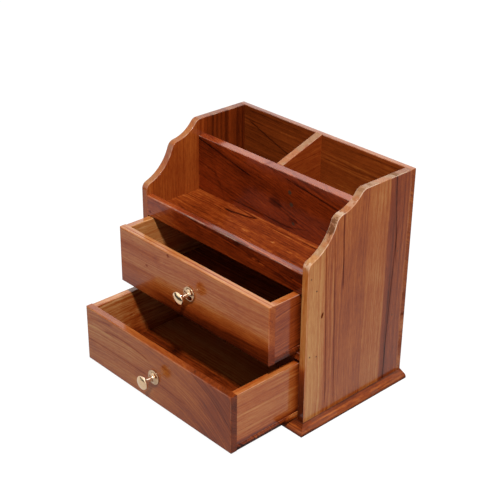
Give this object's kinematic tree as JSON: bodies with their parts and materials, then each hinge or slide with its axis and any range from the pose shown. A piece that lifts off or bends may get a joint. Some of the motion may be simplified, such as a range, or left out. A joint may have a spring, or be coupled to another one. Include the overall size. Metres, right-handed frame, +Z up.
{
  "type": "desktop drawer organizer",
  "caption": "Wooden desk organizer with scalloped sides, a tray and pen compartments above sliding drawers with brass knobs.",
  "frame": {"origin": "centre of the underside of the base board", "axes": "+Z up, +X to the right seen from the front, the drawers open towards -Y"},
  "size_m": [0.2676, 0.2535, 0.2426],
  "materials": {
    "case_wood": "lacquered teak, semi-gloss",
    "drawer_wood": "lacquered teak, semi-gloss",
    "dowel_wood": "plain dowel",
    "knob_brass": "polished, lightly aged",
    "pin_steel": "dark, lacquered over"
  },
  "bodies": {
    "case": {"base_board": "case_wood", "left_side_panel": "case_wood", "right_side_panel": "case_wood", "back_panel": "case_wood", "drawer_divider": "case_wood", "tray_shelf": "case_wood", "tray_front_rail": "case_wood", "compartment_wall": "case_wood", "compartment_partition": "case_wood", "left_side_pins": "pin_steel", "right_side_pins": "pin_steel", "back_pins": "pin_steel", "base_pins": "pin_steel", "shelf_pins": "pin_steel"},
    "lower_drawer": {"lower_drawer_front": "drawer_wood", "lower_drawer_left_side": "drawer_wood", "lower_drawer_right_side": "drawer_wood", "lower_drawer_back": "drawer_wood", "lower_drawer_bottom": "drawer_wood", "lower_drawer_knob": "knob_brass", "lower_drawer_knob_foot": "knob_brass", "lower_drawer_knob_washer": "knob_brass", "lower_drawer_knob_nut": "knob_brass", "lower_drawer_pins": "pin_steel", "lower_drawer_dowels": "dowel_wood"},
    "upper_drawer": {"upper_drawer_front": "drawer_wood", "upper_drawer_left_side": "drawer_wood", "upper_drawer_right_side": "drawer_wood", "upper_drawer_back": "drawer_wood", "upper_drawer_bottom": "drawer_wood", "upper_drawer_knob": "knob_brass", "upper_drawer_knob_foot": "knob_brass", "upper_drawer_knob_washer": "knob_brass", "upper_drawer_knob_nut": "knob_brass", "upper_drawer_pins": "pin_steel", "upper_drawer_dowels": "dowel_wood"}
  },
  "joints": [
    {"name": "lower_drawer_slide", "type": "slide", "parent": "case", "child": "lower_drawer", "axis": [0, -1, 0], "range_m": [-0.0877, 0.0223]},
    {"name": "upper_drawer_slide", "type": "slide", "parent": "case", "child": "upper_drawer", "axis": [0, -1, 0], "range_m": [-0.0388, 0.0712]}
  ]
}
